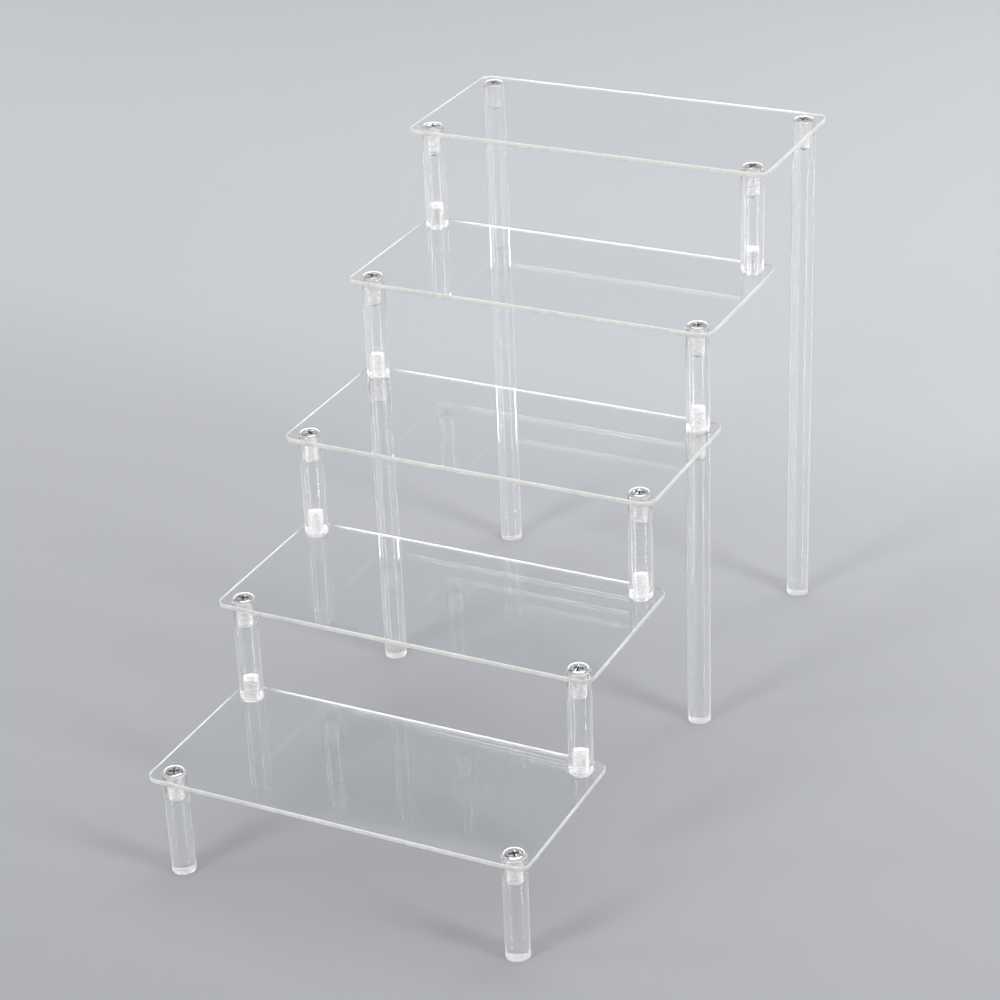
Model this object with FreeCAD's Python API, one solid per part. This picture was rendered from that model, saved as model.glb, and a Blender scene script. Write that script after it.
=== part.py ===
"""Five-tier stepped display stand for eyeglasses, in clear acrylic sheet and rod.

Five identical clear sheets climb to the rear like a staircase. Short tapped rods carry
each sheet's front edge on the rear of the sheet below, and three pairs of legs reach
down to the table: under the front of the lowest sheet, under the rear of the middle
sheet and under the rear of the top sheet. Countersunk M4 screws hold rod and sheet
together, and a headless stud joins the middle leg, the middle sheet and the rod above.

Frame: millimetres, +Z up, +X to the right and -Y towards a person in front of the
stand. The origin is on the table, under the centre of the stand's bounding box.
"""
import FreeCAD, Part
import math
import os

Vector = FreeCAD.Vector

# ---- driving dimensions, mm and degrees ----
TIER_COUNT = 5
MIDDLE_TIER = 3            # the tier whose rear stands on the middle legs
RISE = 47.0                # height from one sheet's top to the next, and of the lowest
RUN = 62.0                 # depth of a step, and the distance between hole rows
HOLE_SPACING = 150.0       # between the left and right holes of a sheet

SHEET_THICKNESS = 2.0
EDGE_MARGIN = 8.5          # from a hole's centre to the sheet's edges
CORNER_RADIUS = 5.0
SHEET_EDGE_BREAK = 0.2

ROD_DIAMETER = 10.0
ROD_EDGE_BREAK = 0.35

THREAD_DIAMETER = 4.0      # M4, modelled plain at the thread's outside diameter
SCREW_LENGTH = 12.0        # overall, countersunk head included
STUD_ENGAGEMENT = 10.0     # length of a stud inside each rod
TAPPED_DEPTH = 11.0        # full-diameter depth of a tapped hole
DRILL_POINT_ANGLE = 118.0
TIP_CHAMFER = 0.5

HEAD_DIAMETER = 8.0
COUNTERSINK_ANGLE = 90.0
STUD_HOLE_DIAMETER = 4.3   # plain clearance hole of the middle sheet's rear corners
FIT_GAP = 0.02             # radial gap between a fastener and the hole that holds it

RECESS_SPAN = 4.4          # cross recess, across the wings at the head's face
RECESS_FLOOR_SPAN = 2.0
RECESS_WING = 0.95
RECESS_FLOOR_WING = 0.6
RECESS_DEPTH = 1.7

SIDES = {"left": -1, "right": 1}

# ---- sizes that follow from them ----
SHEET_WIDTH = HOLE_SPACING + 2 * EDGE_MARGIN
SHEET_DEPTH = RUN + 2 * EDGE_MARGIN
TOTAL_DEPTH = TIER_COUNT * RUN + 2 * EDGE_MARGIN
POST_LENGTH = RISE - SHEET_THICKNESS
HEAD_DEPTH = (HEAD_DIAMETER - THREAD_DIAMETER) / 2 / math.tan(math.radians(COUNTERSINK_ANGLE / 2))
STUD_LENGTH = 2 * STUD_ENGAGEMENT + SHEET_THICKNESS


def row_y(row):
    """Y of a hole row: row 0 is the lowest sheet's front, row TIER_COUNT the rear legs."""
    return -TOTAL_DEPTH / 2 + EDGE_MARGIN + row * RUN


def hole_x(side):
    return SIDES[side] * HOLE_SPACING / 2


def tier_top(tier):
    return tier * RISE


def tier_underside(tier):
    return tier_top(tier) - SHEET_THICKNESS


def turned(profile):
    """Solid of revolution about Z from (radius, z) points, both ends on the axis."""
    points = [Vector(radius, 0, z) for radius, z in profile]
    outline = Part.makePolygon(points + points[:1])
    return Part.Face(outline).revolve(Vector(0, 0, 0), Vector(0, 0, 1), 360)


def placed(shape, x, y, z, upside_down=False):
    """Copy of a shape at a place, turned over about X first where it points up."""
    copy = shape.copy()
    if upside_down:
        copy.rotate(Vector(0, 0, 0), Vector(1, 0, 0), 180)
    copy.translate(Vector(x, y, z))
    return copy


# ---- sheets ----
def blank_sheet():
    """Sheet with rounded corners and broken edges, its front left hole at X = Y = 0."""
    sheet = Part.makeBox(SHEET_WIDTH, SHEET_DEPTH, SHEET_THICKNESS)
    corners = [edge for edge in sheet.Edges if edge.BoundBox.ZLength > SHEET_THICKNESS / 2]
    sheet = sheet.makeFillet(CORNER_RADIUS, corners)
    rims = [edge for edge in sheet.Edges if edge.BoundBox.ZLength < SHEET_THICKNESS / 2]
    sheet = sheet.makeChamfer(SHEET_EDGE_BREAK, rims)
    sheet.translate(Vector(-EDGE_MARGIN, -EDGE_MARGIN, -SHEET_THICKNESS))
    return sheet


def countersink():
    """Tool for a countersunk hole, its wide mouth at z = 0 and its cone downwards."""
    mouth = HEAD_DIAMETER / 2 + FIT_GAP
    shank = THREAD_DIAMETER / 2 + FIT_GAP
    return Part.makeCone(shank, mouth, HEAD_DEPTH, Vector(0, 0, -HEAD_DEPTH))


def stud_hole():
    return Part.makeCylinder(STUD_HOLE_DIAMETER / 2, SHEET_THICKNESS, Vector(0, 0, -SHEET_THICKNESS))


def sheet_holes(tier):
    """Cutting tools of one sheet, in the blank sheet's frame."""
    tools = []
    for side in SIDES:
        x = hole_x(side) - hole_x("left")
        tools.append(placed(countersink(), x, 0, 0))
        if tier == TIER_COUNT:
            tools.append(placed(countersink(), x, RUN, 0))
        elif tier == MIDDLE_TIER:
            tools.append(placed(stud_hole(), x, RUN, 0))
        else:
            tools.append(placed(countersink(), x, RUN, -SHEET_THICKNESS, upside_down=True))
    return tools


def shelf_sheet(tier):
    sheet = blank_sheet()
    for tool in sheet_holes(tier):
        sheet = sheet.cut(tool)
    return placed(sheet, hole_x("left"), row_y(tier - 1), tier_top(tier))


# ---- rods ----
def tapped_rod(length, tapped_foot):
    """Round rod standing on z = 0, tapped at its top and, if asked, at its foot."""
    radius = ROD_DIAMETER / 2
    bore = THREAD_DIAMETER / 2 + FIT_GAP
    point = bore / math.tan(math.radians(DRILL_POINT_ANGLE / 2))
    foot = [(0, 0)]
    if tapped_foot:
        foot = [(0, TAPPED_DEPTH + point), (bore, TAPPED_DEPTH), (bore, 0)]
    wall = [
        (radius - ROD_EDGE_BREAK, 0),
        (radius, ROD_EDGE_BREAK),
        (radius, length - ROD_EDGE_BREAK),
        (radius - ROD_EDGE_BREAK, length),
    ]
    top = [(bore, length), (bore, length - TAPPED_DEPTH), (0, length - TAPPED_DEPTH - point)]
    return turned(foot + wall + top)


# ---- fasteners ----
def cross_outline(span, wing, z):
    """Closed twelve-sided cross, centred on the Z axis."""
    tip = span / 2
    root = wing / 2
    arm = [(tip, -root), (tip, root), (root, root)]
    points = []
    for quarter in range(4):
        turn = FreeCAD.Rotation(Vector(0, 0, 1), 90 * quarter)
        points += [turn.multVec(Vector(x, y, z)) for x, y in arm]
    return Part.makePolygon(points + points[:1])


def countersunk_screw():
    """Flat-head screw hanging down from z = 0, with its cross recess in the head's face."""
    shank = THREAD_DIAMETER / 2
    body = turned([
        (0, 0),
        (HEAD_DIAMETER / 2, 0),
        (shank, -HEAD_DEPTH),
        (shank, TIP_CHAMFER - SCREW_LENGTH),
        (shank - TIP_CHAMFER, -SCREW_LENGTH),
        (0, -SCREW_LENGTH),
    ])
    face = cross_outline(RECESS_SPAN, RECESS_WING, 0)
    floor = cross_outline(RECESS_FLOOR_SPAN, RECESS_FLOOR_WING, -RECESS_DEPTH)
    return body.cut(Part.makeLoft([face, floor], True, True))


def joining_stud():
    """Headless stud, centred on z = 0."""
    radius = THREAD_DIAMETER / 2
    half = STUD_LENGTH / 2
    return turned([
        (0, -half),
        (radius - TIP_CHAMFER, -half),
        (radius, TIP_CHAMFER - half),
        (radius, half - TIP_CHAMFER),
        (radius - TIP_CHAMFER, half),
        (0, half),
    ])


# ---- assembly ----
def all_nodes():
    """Every piece of the stand, by node name."""
    nodes = {}
    tiers = range(1, TIER_COUNT + 1)
    for tier in tiers:
        nodes[f"shelf_sheet_{tier}"] = shelf_sheet(tier)

    post = tapped_rod(POST_LENGTH, tapped_foot=True)
    leg_rows = {"front": (0, 1), "middle": (MIDDLE_TIER, MIDDLE_TIER), "rear": (TIER_COUNT, TIER_COUNT)}
    screw = countersunk_screw()
    stud = joining_stud()
    for side in SIDES:
        x = hole_x(side)
        for name, (row, tier) in leg_rows.items():
            leg = tapped_rod(tier_underside(tier), tapped_foot=False)
            nodes[f"{name}_leg_{side}"] = placed(leg, x, row_y(row), 0)
        for tier in tiers:
            nodes[f"front_screw_{tier}_{side}"] = placed(screw, x, row_y(tier - 1), tier_top(tier))
            if tier < TIER_COUNT:
                nodes[f"riser_post_{tier}_{side}"] = placed(post, x, row_y(tier), tier_top(tier))
            if tier < TIER_COUNT and tier != MIDDLE_TIER:
                under = placed(screw, x, row_y(tier), tier_underside(tier), upside_down=True)
                nodes[f"under_screw_{tier}_{side}"] = under
        stud_z = tier_top(MIDDLE_TIER) - SHEET_THICKNESS / 2
        nodes[f"joining_stud_{side}"] = placed(stud, x, row_y(MIDDLE_TIER), stud_z)
        nodes[f"rear_screw_{side}"] = placed(screw, x, row_y(TIER_COUNT), tier_top(TIER_COUNT))
    return nodes


os.makedirs("parts", exist_ok=True)
for name, shape in all_nodes().items():
    shape.exportStep(f"parts/{name}.step")
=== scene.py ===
import math
import random

import bmesh
import bpy
from mathutils import Matrix, Quaternion, Vector
from mathutils.geometry import tessellate_polygon


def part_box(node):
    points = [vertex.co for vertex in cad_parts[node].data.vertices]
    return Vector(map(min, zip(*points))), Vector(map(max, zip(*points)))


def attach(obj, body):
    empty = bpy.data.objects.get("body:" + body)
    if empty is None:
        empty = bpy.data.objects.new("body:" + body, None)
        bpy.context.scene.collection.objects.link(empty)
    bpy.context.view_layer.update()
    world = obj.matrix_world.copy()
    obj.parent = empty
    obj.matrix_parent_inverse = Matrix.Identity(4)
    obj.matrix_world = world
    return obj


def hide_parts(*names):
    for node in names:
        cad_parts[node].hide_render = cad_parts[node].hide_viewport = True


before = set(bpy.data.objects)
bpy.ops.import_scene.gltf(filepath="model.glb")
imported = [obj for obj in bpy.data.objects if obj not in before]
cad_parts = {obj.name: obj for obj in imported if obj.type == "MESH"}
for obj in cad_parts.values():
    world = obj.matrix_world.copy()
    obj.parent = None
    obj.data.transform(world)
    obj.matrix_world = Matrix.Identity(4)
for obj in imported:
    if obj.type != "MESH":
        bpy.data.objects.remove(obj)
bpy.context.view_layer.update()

# ---- sizes, metres ----
MM = 0.001
BODY = "root"
SIDES = ("left", "right")
TOP_TIER = 5
MIDDLE_TIER = 3                    # its rear corners stand on the middle legs
TIERS = range(1, TOP_TIER + 1)
UNDER_SCREW_TIERS = [tier for tier in TIERS if tier not in (MIDDLE_TIER, TOP_TIER)]

CORNER_RADIUS = 5 * MM
SHEET_ROUNDING = 0.22 * MM         # polished arris of a sheet's edge
ROD_ROUNDING = 0.35 * MM
FIT_GAP = 0.02 * MM                # between a screw's shank and its hole in a sheet
STUD_HOLE_RADIUS = 2.15 * MM
CONTACT_GAP = 0.02 * MM            # air left between two clear faces that touch

THREAD_PITCH = 0.7 * MM
THREAD_OUTER = 2.0 * MM
THREAD_INNER = 1.66 * MM
THREAD_PLAY = 0.04 * MM            # radial play between a screw's thread and its hole's
THREAD_FLAT = 0.125                # share of a turn that is flat at the thread's root and crest
THREAD_ROWS = 8                    # mesh rows to a turn of thread
TAPPED_DEPTH = 11 * MM
DRILL_HALF_ANGLE = math.radians(118 / 2)
TIP_CHAMFER = 0.5 * MM

HEAD_RADIUS = 4 * MM
SHANK_RADIUS = 2 * MM
CROWN = (                          # (radius, height) from a head's flat middle out to its rim
    (2.70 * MM, 0.0),
    (3.10 * MM, -0.02 * MM),
    (3.45 * MM, -0.06 * MM),
    (3.75 * MM, -0.13 * MM),
    (3.98 * MM, -0.24 * MM),
)
RECESS_DEPTH = 1.7 * MM
RECESS_LIP = 0.1 * MM
RECESS_MOUTH = (4.75 * MM, 1.2 * MM)    # (span across two wings, width of a wing)
RECESS_EDGE = (4.5 * MM, 0.95 * MM)
RECESS_FLOOR = (2.0 * MM, 0.6 * MM)

ROUND_STEPS = 64                   # corners of a turned ring
CORNER_STEPS = 12                  # along a sheet's rounded corner
ROUNDING_STEPS = 4                 # across a rounded arris
SHARP_ANGLE = math.radians(35)     # steepest edge that is still shaded smooth
TURN_SEED = 7                      # for how far round each screw was driven

# ---- stage ----
STAGE_FLAT = 1.4                   # radius of the flat floor
STAGE_RIM = 2.5                    # radius and height at the top of the curved wall
STAGE_HEIGHT = 1.9
STAGE_STEPS = 96                   # corners of a ring of the backdrop
FLOOR_ROWS = 4
WALL_ROWS = 28

# Softboxes, all facing their target from one distance: (name, azimuth, elevation, width, height,
# watts, target). Azimuth is 0 in front and positive to the right; both angles are in degrees.
LIGHT_DISTANCE = 1.8
STAND_MIDDLE = (0, 0, 0.1)
SOFTBOXES = (
    ("softbox_left", -22, 38, 0.4, 1.2, 27, STAND_MIDDLE),
    ("softbox_right", 78, 38, 0.4, 1.2, 33, STAND_MIDDLE),
    ("rim_left", -60, 25, 0.3, 0.8, 9, STAND_MIDDLE),
    ("rim_right", 155, 14, 0.4, 0.5, 7, STAND_MIDDLE),
    ("rim_back", -110, 12, 0.3, 0.6, 6, STAND_MIDDLE),
    ("softbox_top", 180, 78, 1.5, 1.1, 20, (0, 0.3, 0)),
)
ROOM_LIGHT = (0.97, 0.98, 1.0)
ROOM_STRENGTH = 0.2

CAMERA_TARGET = (-0.0005, -0.0044, 0.1103)
CAMERA_DISTANCE = 1.1505
CAMERA_AZIMUTH = 26.72
CAMERA_ELEVATION = 27.07
CAMERA_ROLL = -2.38
CAMERA_LENS = 98.41                # millimetres, on a sensor 36 mm wide
CAMERA_SENSOR = 36

CLEAR_BOUNCES = 48                 # light crosses many clear faces on its way through the stand
DIFFUSE_BOUNCES = 8

# ---- surfaces ----
ACRYLIC_IOR = 1.49
GROOVE_PITCH = 0.15 * MM           # fine turned grooves round a rod
GROOVE_SLOPE = 0.9                 # steepest tip of a groove's side
ROD_COAT = 0.4                     # strength of the shine that the grooves are cut in
ROD_COAT_ROUGHNESS = 0.12
ROD_COAT_IOR = 1.8
ROD_SHEEN = 1.0                    # pale haze of the rubbed surface, seen along its sides
ROD_SHEEN_ROUGHNESS = 0.4

# Acrylic surfaces. clear: 1 polished, less where a saw or drill left it white. dark, light: colours
# of the two ends of its noise. rough: their roughness. stretch: noise cells to the metre along each
# axis. relief: height of the bumps. passes: share of a lamp's light let straight through.
ACRYLICS = {
    "sheet": {
        "clear": 1.0, "dark": (0.975, 0.985, 0.985), "light": (0.99, 0.995, 0.995),
        "rough": (0.0, 0.006), "stretch": (14, 14, 14), "relief": 0.02 * MM, "passes": 0.96,
    },
    "sheet_edge": {
        "clear": 0.3, "dark": (0.475, 0.48, 0.46), "light": (0.55, 0.555, 0.53),
        "rough": (0.35, 0.5), "stretch": (500, 500, 60), "relief": 0.01 * MM, "passes": 0.5,
    },
    "drilled": {
        "clear": 0.25, "dark": (0.90, 0.92, 0.92), "light": (0.97, 0.98, 0.98),
        "rough": (0.4, 0.6), "stretch": (600, 600, 2500), "relief": 0.02 * MM, "passes": 0.5,
    },
    "rod": {
        "clear": 1.0, "dark": (0.98, 0.985, 0.99), "light": (0.995, 0.997, 1.0),
        "rough": (0.0, 0.02), "stretch": (260, 260, 5), "relief": 0.0015 * MM, "passes": 0.72,
    },
    "rod_end": {
        "clear": 0.3, "dark": (0.44, 0.43, 0.45), "light": (0.50, 0.49, 0.51),
        "rough": (0.4, 0.6), "stretch": (900, 900, 900), "relief": 0.02 * MM, "passes": 0.6,
    },
    # foot: the same saw-cut end as rod_end where a leg stands on the floor, painted darker than
    # rod_end: painted shade where it meets the floor.
    "foot": {
        "clear": 0.3, "dark": (0.20, 0.198, 0.205), "light": (0.25, 0.248, 0.255),
        "rough": (0.4, 0.6), "stretch": (900, 900, 900), "relief": 0.02 * MM, "passes": 0.6,
    },
    "thread": {
        "clear": 0.15, "dark": (0.62, 0.62, 0.63), "light": (1.0, 1.0, 1.0),
        "rough": (0.3, 0.6), "stretch": (1200, 1200, 1200), "relief": 0.03 * MM, "passes": 0.6,
    },
}
# Plated steel, in the same terms. The recess's dark colour is painted shade in the pits of the cross.
METALS = {
    "screw": {
        "dark": (0.74, 0.735, 0.72), "light": (0.93, 0.93, 0.92),
        "rough": (0.05, 0.16), "stretch": (1100, 1100, 1100), "relief": 0.03 * MM,
    },
    "painted_shade_recess": {
        "dark": (0.10, 0.10, 0.10), "light": (0.30, 0.30, 0.30),
        "rough": (0.2, 0.45), "stretch": (1100, 1100, 1100), "relief": 0.03 * MM,
    },
}
NOISE_DETAIL = 3.0
NOISE_MIDDLE = (0.3, 0.7)          # range that nearly all of a noise falls in

# Backdrop paper, its grey painted darker in front and paler behind: painted light, standing in for how
# the studio light falls on the floor: (distance behind the middle, grey).
PAPER_PAINTED_LIGHT_GRADE = ((-0.25, 0.198), (0.0, 0.232), (0.2, 0.272), (0.35, 0.325), (0.6, 0.355), (1.0, 0.385))
PAPER_TINT = (0.97, 0.993, 1.05)
# The wall's colour is painted paler than the floor's: painted light on the curved-up wall.
PAPER_WALL_PAINTED_LIGHT = (0.66, 0.66, 0.67)    # colour once it has curved up off the floor
PAPER_PAINTED_WALL_RISE = (0.02, 0.5)           # heights over which the floor's grey turns to the wall's
PAPER_ROUGHNESS = 0.9


# ---- mesh code ----
class Shell:
    """Points and faces of one closed skin, each face with the kind of surface it is."""

    def __init__(self):
        self.points = []
        self.faces = []
        self.kinds = []

    def add(self, points):
        start = len(self.points)
        self.points += [Vector(point) for point in points]
        return list(range(start, len(self.points)))

    def face(self, corners, kind):
        self.faces.append(list(corners))
        self.kinds.append(kind)

    def wall(self, one, other, kind):
        """Quads between two closed rings of the same number of points."""
        for i, here in enumerate(one):
            j = (i + 1) % len(one)
            self.face((here, one[j], other[j], other[i]), kind)

    def fan(self, ring, tip, kind):
        centre = self.add([tip])[0]
        for i, here in enumerate(ring):
            self.face((here, ring[(i + 1) % len(ring)], centre), kind)

    def mesh(self, name, kinds):
        """Blender mesh with one material slot for each of kinds, normals outwards."""
        mesh = bpy.data.meshes.new(name)
        mesh.from_pydata(self.points, [], self.faces)
        order = {kind: i for i, kind in enumerate(kinds)}
        mesh.polygons.foreach_set("material_index", [order[kind] for kind in self.kinds])
        turn_outwards(mesh)
        mark_sharp(mesh)
        return mesh


def turn_outwards(mesh):
    work = bmesh.new()
    work.from_mesh(mesh)
    bmesh.ops.recalc_face_normals(work, faces=work.faces)
    work.to_mesh(mesh)
    work.free()


def mark_sharp(mesh):
    """Smooth shading, broken at steep edges and where two kinds of surface meet."""
    mesh.shade_smooth()
    mesh.set_sharp_from_angle(angle=SHARP_ANGLE)
    beside = {}
    for polygon in mesh.polygons:
        for key in polygon.edge_keys:
            beside.setdefault(key, set()).add(polygon.material_index)
    for edge in mesh.edges:
        if len(beside.get(edge.key, ())) > 1:
            edge.use_edge_sharp = True


def ring(radius, z, centre=(0, 0), steps=ROUND_STEPS):
    """Points of a level circle. radius is a number or a function of the angle."""
    points = []
    for i in range(steps):
        angle = 2 * math.pi * i / steps
        reach = radius(angle) if callable(radius) else radius
        points.append((centre[0] + reach * math.cos(angle), centre[1] + reach * math.sin(angle), z))
    return points


def quarter_round(size):
    """(inset, drop) pairs across a rounded arris, from its upright side to its flat face."""
    pairs = []
    for i in range(ROUNDING_STEPS + 1):
        angle = math.pi / 2 * i / ROUNDING_STEPS
        pairs.append((size * (1 - math.cos(angle)), size * (1 - math.sin(angle))))
    return pairs


def thread_row(depth, end, inner, outer, z, way):
    """Ring of a right-hand thread at a depth from its mouth at height z; way is 1 up or -1 down."""
    fade = max(0.0, min(1.0, depth / THREAD_PITCH, (end - depth) / THREAD_PITCH))

    def radius(angle):
        turn = (depth / THREAD_PITCH - way * angle / (2 * math.pi)) % 1.0
        slope = (1 - abs(2 * turn - 1)) * (1 + 2 * THREAD_FLAT) - THREAD_FLAT
        return inner + (outer - inner) * min(1.0, max(0.0, slope)) * fade

    return ring(radius, z + way * depth)


def thread(shell, last, reach, inner, outer, z, way, kind):
    """Threaded wall from the ring last at height z; returns its last ring."""
    rows = round(reach / THREAD_PITCH * THREAD_ROWS)
    for i in range(1, rows + 1):
        row = shell.add(thread_row(reach * i / rows, reach, inner, outer, z, way))
        shell.wall(last, row, kind)
        last = row
    return last


# ---- rods ----
def rod_shell(length, radius, tapped_foot):
    """Clear rod standing on z = 0, tapped at its top and, if asked, at its foot."""
    shell = Shell()
    arris = quarter_round(ROD_ROUNDING)
    rows = [(radius - inset, drop) for inset, drop in reversed(arris)]
    rows += [(radius - inset, length - drop) for inset, drop in arris]
    loops = [shell.add(ring(reach, z)) for reach, z in rows]
    for one, other in zip(loops, loops[1:]):
        shell.wall(one, other, "rod")
    for loop, z, way, tapped in ((loops[0], 0, 1, tapped_foot), (loops[-1], length, -1, True)):
        if tapped:
            mouth = shell.add(ring(THREAD_INNER, z))
            shell.wall(loop, mouth, "rod_end")
            deep = thread(shell, mouth, TAPPED_DEPTH, THREAD_INNER, THREAD_OUTER, z, way, "thread")
            point = TAPPED_DEPTH + THREAD_INNER / math.tan(DRILL_HALF_ANGLE)
            shell.fan(deep, (0, 0, z + way * point), "thread")
        else:
            # A leg's untapped end takes the foot finish, whose darker colour is painted shade where it
            # meets the floor.
            inner = shell.add(ring(radius / 2, z))
            shell.wall(loop, inner, "foot")
            shell.fan(inner, (0, 0, z), "foot")
    return shell


# ---- fasteners ----
def cross_points(size, z):
    """Cross outline from the middle of one wing's tip, round by quarters."""
    tip, root = size[0] / 2, size[1] / 2
    quarter = ((tip, 0), (tip, root), (root, root), (root, tip))
    points = []
    for cosine, sine in ((1, 0), (0, 1), (-1, 0), (0, -1)):
        points += [(x * cosine - y * sine, x * sine + y * cosine, z) for x, y in quarter]
    return points


def cross_recess(shell, rim):
    """Flat middle of a screw head inside the ring rim at z = 0, with the cross sunk in it."""
    mouth = shell.add(cross_points(RECESS_MOUTH, 0))
    edge = shell.add(cross_points(RECESS_EDGE, -RECESS_LIP))
    floor = shell.add(cross_points(RECESS_FLOOR, -RECESS_DEPTH))
    quarter = len(rim) // 4
    corners = len(mouth) // 4
    for turn in range(4):
        arc = [rim[(turn * quarter + i) % len(rim)] for i in range(quarter + 1)]
        side = [mouth[(turn * corners + i) % len(mouth)] for i in range(corners + 1)]
        shell.face(arc + side[::-1], "screw")
    shell.wall(mouth, edge, "screw")
    # The cross's walls below its lip and its floor are painted dark: painted shade in the recess.
    shell.wall(edge, floor, "painted_shade_recess")
    shell.face(floor, "painted_shade_recess")


def threaded_end(shell, last, reach, z, way):
    """Thread of a fastener from the ring last at height z to its chamfered tip."""
    inner, outer = THREAD_INNER - THREAD_PLAY, THREAD_OUTER - THREAD_PLAY
    last = thread(shell, last, reach - TIP_CHAMFER, inner, outer, z, way, "screw")
    tip = shell.add(ring(inner - TIP_CHAMFER, z + way * reach))
    shell.wall(last, tip, "screw")
    shell.fan(tip, (0, 0, z + way * reach), "screw")


def screw_shell(length, head_depth):
    """Countersunk screw hanging down from its head's face at z = 0."""
    shell = Shell()
    rows = [shell.add(ring(radius, z)) for radius, z in CROWN]
    rows.append(shell.add(ring(THREAD_INNER - THREAD_PLAY, -head_depth)))
    cross_recess(shell, rows[0])
    for one, other in zip(rows, rows[1:]):
        shell.wall(one, other, "screw")
    threaded_end(shell, rows[-1], length - head_depth, -head_depth, -1)
    return shell


def stud_shell(length, plain):
    """Headless stud centred on z = 0, plain where it passes through the sheet."""
    shell = Shell()
    radius = THREAD_INNER - THREAD_PLAY
    upper = shell.add(ring(radius, plain / 2))
    lower = shell.add(ring(radius, -plain / 2))
    shell.wall(upper, lower, "screw")
    threaded_end(shell, upper, (length - plain) / 2, plain / 2, 1)
    threaded_end(shell, lower, (length - plain) / 2, -plain / 2, -1)
    return shell


# ---- sheets ----
def outline(low, high, inset, z):
    """Rounded rectangle, inset from the sheet's edge."""
    radius = CORNER_RADIUS - inset
    right, left = high.x - CORNER_RADIUS, low.x + CORNER_RADIUS
    rear, front = high.y - CORNER_RADIUS, low.y + CORNER_RADIUS
    points = []
    for quarter, (x, y) in enumerate(((right, rear), (left, rear), (left, front), (right, front))):
        for i in range(CORNER_STEPS + 1):
            angle = math.pi / 2 * (quarter + i / CORNER_STEPS)
            points.append((x + radius * math.cos(angle), y + radius * math.sin(angle), z))
    return points


def flat_face(shell, outer, inner):
    """Triangles between a sheet's outline and its holes."""
    loops = [outer] + inner
    corners = [corner for loop in loops for corner in loop]
    polylines = [[shell.points[corner] for corner in loop] for loop in loops]
    for triangle in tessellate_polygon(polylines):
        shell.face([corners[i] for i in triangle], "sheet")


def sheet_shell(low, high, holes):
    """Clear sheet between two corners. holes are (x, y, radius at the top, radius beneath)."""
    shell = Shell()
    arris = quarter_round(SHEET_ROUNDING)
    rows = [(inset, high.z - drop) for inset, drop in reversed(arris)]
    rows += [(inset, low.z + drop) for inset, drop in arris]
    loops = [shell.add(outline(low, high, inset, z)) for inset, z in rows]
    for one, other in zip(loops, loops[1:]):
        shell.wall(one, other, "sheet_edge")
    tops = [shell.add(ring(top, high.z, (x, y))) for x, y, top, _ in holes]
    feet = [shell.add(ring(foot, low.z, (x, y))) for x, y, _, foot in holes]
    for one, other in zip(tops, feet):
        shell.wall(one, other, "drilled")
    flat_face(shell, loops[0], tops)
    flat_face(shell, loops[-1], feet)
    return shell


# ---- materials ----
def material(name):
    """New material; returns it, its node tree and its one shader."""
    made = bpy.data.materials.new(name)
    made.use_nodes = True
    return made, made.node_tree, made.node_tree.nodes["Principled BSDF"]


def object_place(tree):
    return tree.nodes.new("ShaderNodeTexCoord").outputs["Object"]


def along(tree, axis):
    """One of the object coordinates."""
    apart = tree.nodes.new("ShaderNodeSeparateXYZ")
    tree.links.new(object_place(tree), apart.inputs["Vector"])
    return apart.outputs[axis]


def noise(tree, stretch):
    """Noise with this many cells to the metre along each axis."""
    mapping = tree.nodes.new("ShaderNodeMapping")
    mapping.inputs["Scale"].default_value = stretch
    pattern = tree.nodes.new("ShaderNodeTexNoise")
    pattern.inputs["Scale"].default_value = 1.0
    pattern.inputs["Detail"].default_value = NOISE_DETAIL
    tree.links.new(object_place(tree), mapping.inputs["Vector"])
    tree.links.new(mapping.outputs["Vector"], pattern.inputs["Vector"])
    return pattern.outputs["Fac"]


def spread(tree, value, start, end, low, high):
    """Value taken from start..end to low..high."""
    ranged = tree.nodes.new("ShaderNodeMapRange")
    ranged.inputs["From Min"].default_value = start
    ranged.inputs["From Max"].default_value = end
    ranged.inputs["To Min"].default_value = low
    ranged.inputs["To Max"].default_value = high
    tree.links.new(value, ranged.inputs["Value"])
    return ranged.outputs["Result"]


def ramp(tree, value, stops):
    """Colour ramp through (position, colour) stops."""
    made = tree.nodes.new("ShaderNodeValToRGB")
    elements = made.color_ramp.elements
    while len(elements) < len(stops):
        elements.new(0.5)
    for element, (position, colour) in zip(elements, stops):
        element.position = position
        element.color = (*colour, 1)
    tree.links.new(value, made.inputs["Fac"])
    return made.outputs["Color"]


def bumped(tree, pattern, height, socket):
    """Bumps of this height, in metres, that follow a pattern, on a shader's normal socket."""
    bump = tree.nodes.new("ShaderNodeBump")
    bump.inputs["Distance"].default_value = height
    tree.links.new(pattern, bump.inputs["Height"])
    tree.links.new(bump.outputs["Normal"], socket)


def worked_surface(name, finish):
    """Material whose colour, roughness and relief all follow one noise."""
    made, tree, shader = material(name)
    pattern = noise(tree, finish["stretch"])
    colour = ramp(tree, pattern, list(zip(NOISE_MIDDLE, (finish["dark"], finish["light"]))))
    tree.links.new(colour, shader.inputs["Base Color"])
    tree.links.new(spread(tree, pattern, *NOISE_MIDDLE, *finish["rough"]), shader.inputs["Roughness"])
    bumped(tree, pattern, finish["relief"], shader.inputs["Normal"])
    return made, tree, shader


def lit_through(tree, shader, share):
    """Lets a share of each lamp's light straight through, to what lies inside or beneath."""
    path = tree.nodes.new("ShaderNodeLightPath")
    clear = tree.nodes.new("ShaderNodeBsdfTransparent")
    clear.inputs["Color"].default_value = (share, share, share, 1)
    both = tree.nodes.new("ShaderNodeMixShader")
    tree.links.new(path.outputs["Is Shadow Ray"], both.inputs["Fac"])
    tree.links.new(shader.outputs["BSDF"], both.inputs[1])
    tree.links.new(clear.outputs["BSDF"], both.inputs[2])
    tree.links.new(both.outputs["Shader"], tree.nodes["Material Output"].inputs["Surface"])


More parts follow.
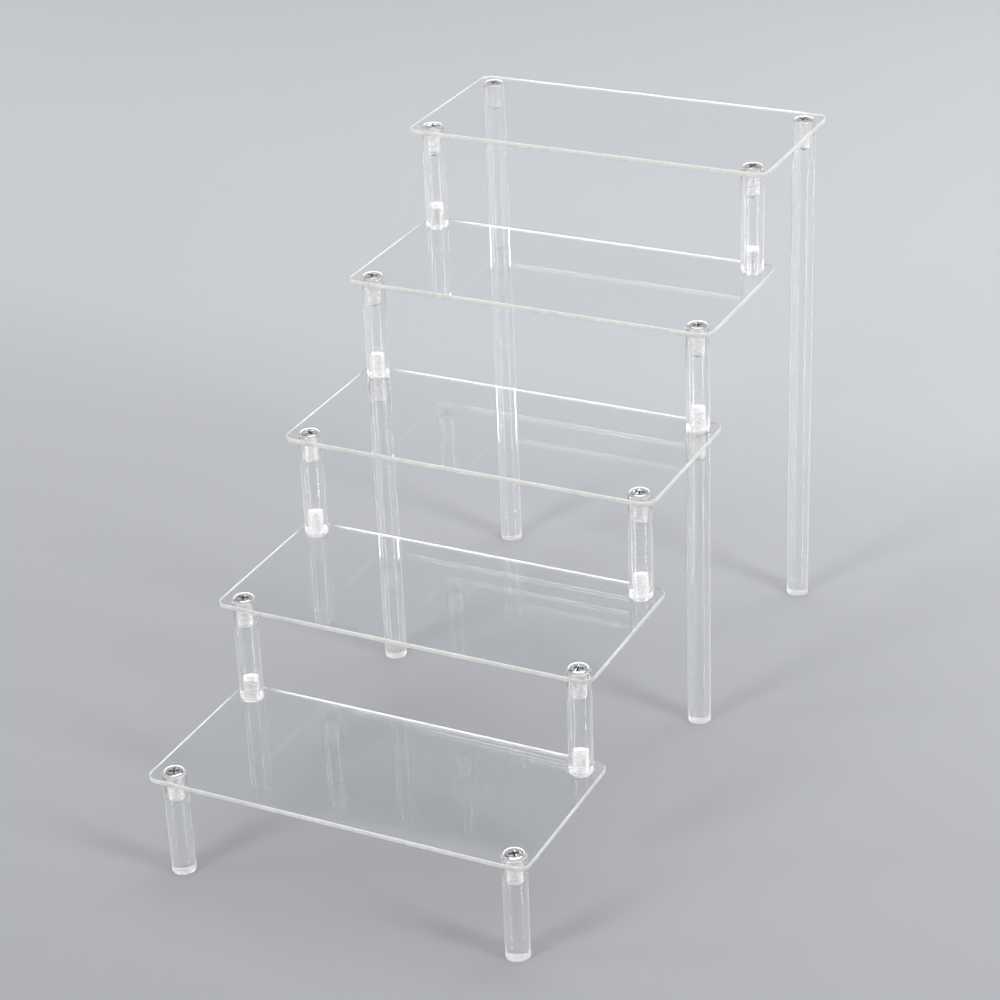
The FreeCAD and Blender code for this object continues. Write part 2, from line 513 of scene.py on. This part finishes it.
def grooved(tree, socket):
    """Fine grooves round an upright rod: the normal tips up and down in turn."""
    half = GROOVE_PITCH / 2
    turns = tree.nodes.new("ShaderNodeMath")
    turns.operation = "PINGPONG"
    turns.inputs[1].default_value = half
    upright = tree.nodes.new("ShaderNodeCombineXYZ")
    facing = tree.nodes.new("ShaderNodeNewGeometry")
    tipped = tree.nodes.new("ShaderNodeVectorMath")
    unit = tree.nodes.new("ShaderNodeVectorMath")
    unit.operation = "NORMALIZE"
    tree.links.new(along(tree, "Z"), turns.inputs[0])
    slope = spread(tree, turns.outputs["Value"], 0, half, -GROOVE_SLOPE, GROOVE_SLOPE)
    tree.links.new(slope, upright.inputs["Z"])
    tree.links.new(facing.outputs["Normal"], tipped.inputs[0])
    tree.links.new(upright.outputs["Vector"], tipped.inputs[1])
    tree.links.new(tipped.outputs["Vector"], unit.inputs[0])
    tree.links.new(unit.outputs["Vector"], socket)


def acrylic(kind):
    """Clear plastic of one kind of surface. Rods also have a fine haze and turned grooves."""
    finish = ACRYLICS[kind]
    made, tree, shader = worked_surface(f"acrylic_{kind}", finish)
    shader.inputs["IOR"].default_value = ACRYLIC_IOR
    shader.inputs["Transmission Weight"].default_value = finish["clear"]
    if kind == "rod":
        shader.inputs["Coat Weight"].default_value = ROD_COAT
        shader.inputs["Coat Roughness"].default_value = ROD_COAT_ROUGHNESS
        shader.inputs["Coat IOR"].default_value = ROD_COAT_IOR
        shader.inputs["Sheen Weight"].default_value = ROD_SHEEN
        shader.inputs["Sheen Roughness"].default_value = ROD_SHEEN_ROUGHNESS
        grooved(tree, shader.inputs["Coat Normal"])
    lit_through(tree, shader, finish["passes"])
    return made


def plated_metal(kind):
    made, tree, shader = worked_surface(f"nickel_{kind}", METALS[kind])
    shader.inputs["Metallic"].default_value = 1.0
    return made


def backdrop_paper_painted_light():
    """Paper with painted light: graded darker in front to paler behind on the floor, and painted paler
    where it has curved up into the wall.
    """
    made, tree, shader = material("backdrop_paper_painted_light")
    front, back = PAPER_PAINTED_LIGHT_GRADE[0][0], PAPER_PAINTED_LIGHT_GRADE[-1][0]
    stops = []
    for y, grey in PAPER_PAINTED_LIGHT_GRADE:
        stops.append(((y - front) / (back - front), tuple(grey * tint for tint in PAPER_TINT)))
    blend = tree.nodes.new("ShaderNodeMix")
    blend.data_type = "RGBA"
    blend.inputs["B"].default_value = (*PAPER_WALL_PAINTED_LIGHT, 1)
    floor = ramp(tree, spread(tree, along(tree, "Y"), front, back, 0, 1), stops)
    tree.links.new(floor, blend.inputs["A"])
    tree.links.new(spread(tree, along(tree, "Z"), *PAPER_PAINTED_WALL_RISE, 0, 1), blend.inputs["Factor"])
    tree.links.new(blend.outputs["Result"], shader.inputs["Base Color"])
    shader.inputs["Roughness"].default_value = PAPER_ROUGHNESS
    return made


# ---- pieces ----
ROD_KINDS = ("rod", "rod_end", "foot", "thread")
SHEET_KINDS = ("sheet", "sheet_edge", "drilled")
SCREW_KINDS = ("screw", "painted_shade_recess")
materials = {kind: acrylic(kind) for kind in ACRYLICS}
materials.update({kind: plated_metal(kind) for kind in METALS})


def piece(node, mesh, kinds, place=None):
    """Shown piece that stands for a CAD node. A mesh that pieces share is copied to its place."""
    if place is not None:
        mesh = mesh.copy()
        mesh.transform(place)
    for kind in kinds:
        mesh.materials.append(materials[kind])
    made = bpy.data.objects.new(f"{node}.shown", mesh)
    bpy.context.scene.collection.objects.link(made)
    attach(made, BODY)
    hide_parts(node)


def node_centre(node):
    low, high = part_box(node)
    return (low + high) / 2


def make_rods():
    meshes = {}
    for side in SIDES:
        nodes = [f"{name}_leg_{side}" for name in ("front", "middle", "rear")]
        nodes += [f"riser_post_{tier}_{side}" for tier in TIERS if tier < TOP_TIER]
        for node in nodes:
            low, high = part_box(node)
            tapped_foot = node.startswith("riser")
            key = (round((high.z - low.z) / MM), tapped_foot)
            if key not in meshes:
                shell = rod_shell(high.z - low.z - 2 * CONTACT_GAP, (high.x - low.x) / 2, tapped_foot)
                meshes[key] = shell.mesh("rod", ROD_KINDS)
            centre = node_centre(node)
            place = Matrix.Translation((centre.x, centre.y, low.z + CONTACT_GAP))
            piece(node, meshes[key], ROD_KINDS, place)


def make_sheets():
    wide, narrow = HEAD_RADIUS, SHANK_RADIUS + FIT_GAP
    for tier in TIERS:
        node = f"shelf_sheet_{tier}"
        low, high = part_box(node)
        holes = []
        for side in SIDES:
            front = node_centre(f"front_screw_{tier}_{side}")
            rear_y = low.y + high.y - front.y
            holes.append((front.x, front.y, wide, narrow))
            if tier == TOP_TIER:
                holes.append((front.x, rear_y, wide, narrow))
            elif tier == MIDDLE_TIER:
                holes.append((front.x, rear_y, STUD_HOLE_RADIUS, STUD_HOLE_RADIUS))
            else:
                holes.append((front.x, rear_y, narrow, wide))
        shell = sheet_shell(low, high, holes)
        piece(node, shell.mesh(node, SHEET_KINDS), SHEET_KINDS)


def screw_place(node, upside_down, turn):
    """Where a screw's mesh goes: its face flush with the sheet's, turned about its own axis."""
    low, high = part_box(node)
    centre = node_centre(node)
    face = low.z if upside_down else high.z
    place = Matrix.Translation((centre.x, centre.y, face))
    if upside_down:
        place = place @ Matrix.Rotation(math.pi, 4, "X")
    return place @ Matrix.Rotation(turn, 4, "Z")


def make_fasteners():
    luck = random.Random(TURN_SEED)
    sheet_low, sheet_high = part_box("shelf_sheet_1")
    thickness = sheet_high.z - sheet_low.z
    low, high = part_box("rear_screw_left")
    screw = screw_shell(high.z - low.z, thickness).mesh("screw", SCREW_KINDS)
    low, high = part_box("joining_stud_left")
    stud = stud_shell(high.z - low.z, thickness).mesh("stud", SCREW_KINDS)
    for side in SIDES:
        screws = [(f"front_screw_{tier}_{side}", False) for tier in TIERS]
        screws += [(f"under_screw_{tier}_{side}", True) for tier in UNDER_SCREW_TIERS]
        screws.append((f"rear_screw_{side}", False))
        for node, upside_down in screws:
            turn = luck.uniform(0, math.pi / 2)
            piece(node, screw, SCREW_KINDS, screw_place(node, upside_down, turn))
        node = f"joining_stud_{side}"
        piece(node, stud, SCREW_KINDS, Matrix.Translation(node_centre(node)))


# ---- stage ----
def backdrop_mesh():
    """Seamless floor that curves up into a wall all round."""
    profile = [(STAGE_FLAT * i / FLOOR_ROWS, 0.0) for i in range(1, FLOOR_ROWS + 1)]
    for i in range(1, WALL_ROWS + 1):
        angle = math.pi / 2 * i / WALL_ROWS
        radius = STAGE_FLAT + (STAGE_RIM - STAGE_FLAT) * math.sin(angle)
        profile.append((radius, STAGE_HEIGHT * (1 - math.cos(angle))))
    shell = Shell()
    loops = [shell.add(ring(radius, z, steps=STAGE_STEPS)) for radius, z in profile]
    shell.fan(loops[0], (0, 0, 0), "backdrop")
    for one, other in zip(loops, loops[1:]):
        shell.wall(other, one, "backdrop")
    mesh = bpy.data.meshes.new("backdrop")
    mesh.from_pydata(shell.points, [], shell.faces)
    mesh.shade_smooth()
    return mesh


def make_stage():
    backdrop = bpy.data.objects.new("backdrop", backdrop_mesh())
    backdrop.data.materials.append(backdrop_paper_painted_light())
    bpy.context.scene.collection.objects.link(backdrop)


def outwards(azimuth, elevation):
    """Unit vector towards an azimuth and elevation, in degrees."""
    across, up = math.radians(azimuth), math.radians(elevation)
    return Vector((math.sin(across) * math.cos(up), -math.cos(across) * math.cos(up), math.sin(up)))


def softbox(name, azimuth, elevation, width, height, watts, target):
    away = outwards(azimuth, elevation)
    lamp = bpy.data.lights.new(name, "AREA")
    lamp.shape = "RECTANGLE"
    lamp.size = width
    lamp.size_y = height
    lamp.energy = watts
    made = bpy.data.objects.new(name, lamp)
    made.location = Vector(target) + away * LIGHT_DISTANCE
    made.rotation_mode = "QUATERNION"
    made.rotation_quaternion = (-away).to_track_quat("-Z", "Y")
    made.visible_camera = False
    bpy.context.scene.collection.objects.link(made)


def make_lights():
    world = bpy.data.worlds.new("studio")
    world.use_nodes = True
    background = world.node_tree.nodes["Background"]
    background.inputs["Color"].default_value = (*ROOM_LIGHT, 1)
    background.inputs["Strength"].default_value = ROOM_STRENGTH
    bpy.context.scene.world = world
    for box in SOFTBOXES:
        softbox(*box)


def make_camera():
    back = outwards(CAMERA_AZIMUTH, CAMERA_ELEVATION)
    lens = bpy.data.cameras.new("camera")
    lens.lens = CAMERA_LENS
    lens.sensor_width = CAMERA_SENSOR
    made = bpy.data.objects.new("camera", lens)
    made.location = Vector(CAMERA_TARGET) + back * CAMERA_DISTANCE
    made.rotation_mode = "QUATERNION"
    roll = Quaternion((0, 0, 1), math.radians(CAMERA_ROLL))
    made.rotation_quaternion = (-back).to_track_quat("-Z", "Y") @ roll
    bpy.context.scene.collection.objects.link(made)
    bpy.context.scene.camera = made


def set_light_paths():
    """Lamps light what is inside clear pieces through lit_through, so refractive caustics stay off."""
    scene = bpy.context.scene
    scene.view_settings.view_transform = "Standard"
    scene.cycles.max_bounces = CLEAR_BOUNCES
    scene.cycles.transmission_bounces = CLEAR_BOUNCES
    scene.cycles.glossy_bounces = CLEAR_BOUNCES
    scene.cycles.transparent_max_bounces = CLEAR_BOUNCES
    scene.cycles.diffuse_bounces = DIFFUSE_BOUNCES
    scene.cycles.caustics_refractive = False


make_camera()
make_rods()
make_sheets()
make_fasteners()
make_stage()
make_lights()
set_light_paths()
